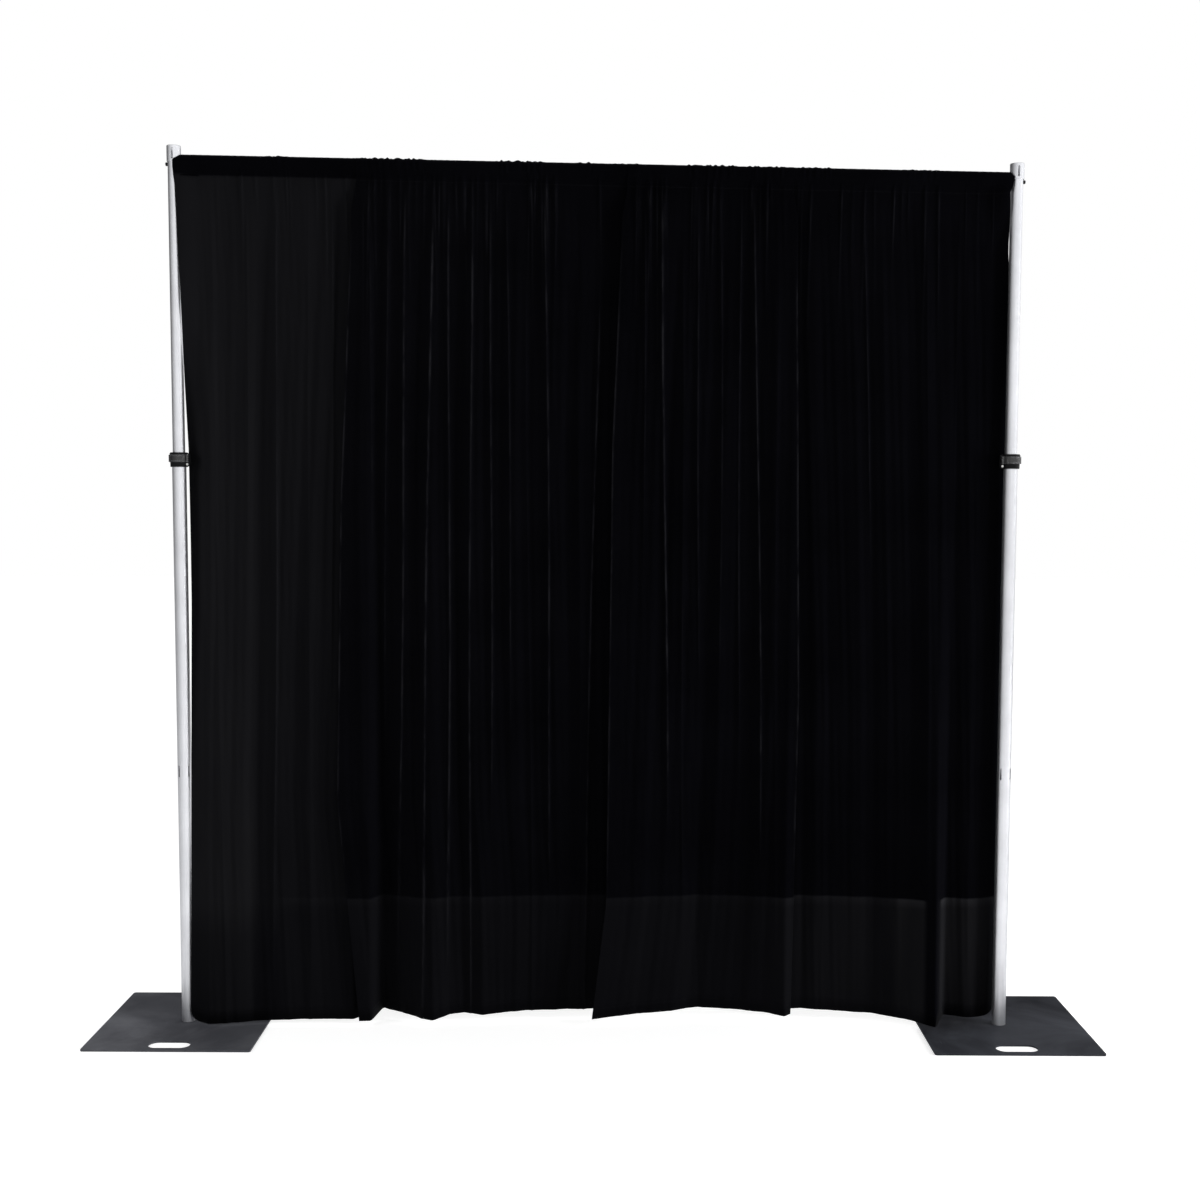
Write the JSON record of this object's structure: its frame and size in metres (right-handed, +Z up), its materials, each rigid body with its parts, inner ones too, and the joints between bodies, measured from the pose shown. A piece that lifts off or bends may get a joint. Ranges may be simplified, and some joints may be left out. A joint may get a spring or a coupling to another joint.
{
  "type": "pipe and drape backdrop",
  "caption": "Free-standing backdrop: telescoping uprights on steel base plates hold a telescoping crossbar with gathered black drape panels hung from a rod pocket",
  "frame": {"origin": "on the floor, midway between the two uprights", "axes": "+X along the crossbar to the viewer's right, +Y away from the viewer to the back, +Z up"},
  "size_m": [3.6576, 0.6096, 3.24],
  "materials": {
    "plate_steel": "satin grey powder coat, scuffed",
    "turned_steel": "turned",
    "zinc_steel": "zinc plated",
    "tube_aluminium": "clear anodised",
    "spring_steel": "bright",
    "black_nylon": "satin moulded",
    "black_acetal": "smooth moulded",
    "grey_nylon": "moulded",
    "black_cloth": "matt woven polyester"
  },
  "bodies": {
    "left_base": {"left_base_plate": "plate_steel", "left_spigot": "turned_steel", "left_spigot_bolt": "zinc_steel"},
    "left_lower": {"left_lower_tube": "tube_aluminium", "left_lock_body": "black_nylon", "left_lever_pin": "zinc_steel", "left_lever_bolt": "zinc_steel", "left_lock_screw": "zinc_steel", "left_lever_nut": "zinc_steel", "left_lock_screw_nut": "zinc_steel"},
    "left_lever": {"left_lock_lever": "black_nylon"},
    "left_upper": {"left_upper_tube": "tube_aluminium", "left_upper_glide": "grey_nylon", "left_head": "tube_aluminium", "left_button_spring": "spring_steel"},
    "left_button": {"left_head_button": "black_acetal"},
    "right_base": {"right_base_plate": "plate_steel", "right_spigot": "turned_steel", "right_spigot_bolt": "zinc_steel"},
    "right_lower": {"right_lower_tube": "tube_aluminium", "right_lock_body": "black_nylon", "right_lever_pin": "zinc_steel", "right_lever_bolt": "zinc_steel", "right_lock_screw": "zinc_steel", "right_lever_nut": "zinc_steel", "right_lock_screw_nut": "zinc_steel"},
    "right_lever": {"right_lock_lever": "black_nylon"},
    "right_upper": {"right_upper_tube": "tube_aluminium", "right_upper_glide": "grey_nylon", "right_head": "tube_aluminium", "right_button_spring": "spring_steel"},
    "right_button": {"right_head_button": "black_acetal"},
    "crossbar_outer": {"crossbar_outer_tube": "tube_aluminium", "crossbar_bush": "black_acetal", "left_hook": "zinc_steel", "left_hook_plug": "turned_steel", "left_hook_rivet": "zinc_steel", "drape_left": "black_cloth", "drape_mid_left": "black_cloth", "drape_mid_right": "black_cloth", "drape_right": "black_cloth"},
    "crossbar_inner": {"crossbar_inner_tube": "tube_aluminium", "crossbar_glide": "black_acetal", "right_hook": "zinc_steel", "right_hook_plug": "turned_steel", "right_hook_rivet": "zinc_steel"}
  },
  "joints": [
    {"name": "left_base_swivel", "type": "hinge", "parent": "left_lower", "child": "left_base", "pos_m": [-1.524, 0, 0.0063], "axis": [0, 0, 1], "continuous": true},
    {"name": "left_mast", "type": "slide", "parent": "left_lower", "child": "left_upper", "axis": [0, 0, 1], "range_m": [-0.96, 0.418], "deforming": ["drape_left", "drape_mid_left", "drape_mid_right", "drape_right"]},
    {"name": "left_lever_hinge", "type": "hinge", "parent": "left_lower", "child": "left_lever", "pos_m": [-1.4905, -0.0172, 2.11475], "axis": [0, 0, 1], "range_deg": [0, 95]},
    {"name": "left_button_press", "type": "slide", "parent": "left_upper", "child": "left_button", "axis": [1, 0, 0], "range_m": [0, 0.008], "stiffness_N_per_m": 900, "deforming": ["left_button_spring"]},
    {"name": "crossbar_lift", "type": "slide", "parent": "left_upper", "child": "crossbar_outer", "axis": [0, 0, 1], "range_m": [0, 0.02]},
    {"name": "crossbar_slide", "type": "slide", "parent": "crossbar_outer", "child": "crossbar_inner", "axis": [0.9998, 0, -0.0197], "range_m": [-1.2, 0], "deforming": ["drape_left", "drape_mid_left", "drape_mid_right", "drape_right"]},
    {"name": "right_hook_lift", "type": "slide", "parent": "crossbar_inner", "child": "right_upper", "axis": [0, 0, -1], "range_m": [0, 0.02]},
    {"name": "right_button_press", "type": "slide", "parent": "right_upper", "child": "right_button", "axis": [-1, 0, 0], "range_m": [0, 0.008], "stiffness_N_per_m": 900, "deforming": ["right_button_spring"]},
    {"name": "right_mast", "type": "slide", "parent": "right_upper", "child": "right_lower", "axis": [0, 0, -1], "range_m": [-0.96, 0.418]},
    {"name": "right_lever_hinge", "type": "hinge", "parent": "right_lower", "child": "right_lever", "pos_m": [1.4905, -0.0172, 2.11475], "axis": [0, 0, -1], "range_deg": [0, 95]},
    {"name": "right_base_swivel", "type": "hinge", "parent": "right_lower", "child": "right_base", "pos_m": [1.524, 0, 0.0063], "axis": [0, 0, 1], "continuous": true}
  ],
  "couplings": [
    {"joint": "right_hook_lift", "follows": "crossbar_lift", "ratio": 1},
    {"joint": "right_mast", "follows": "left_mast", "ratio": 1}
  ]
}
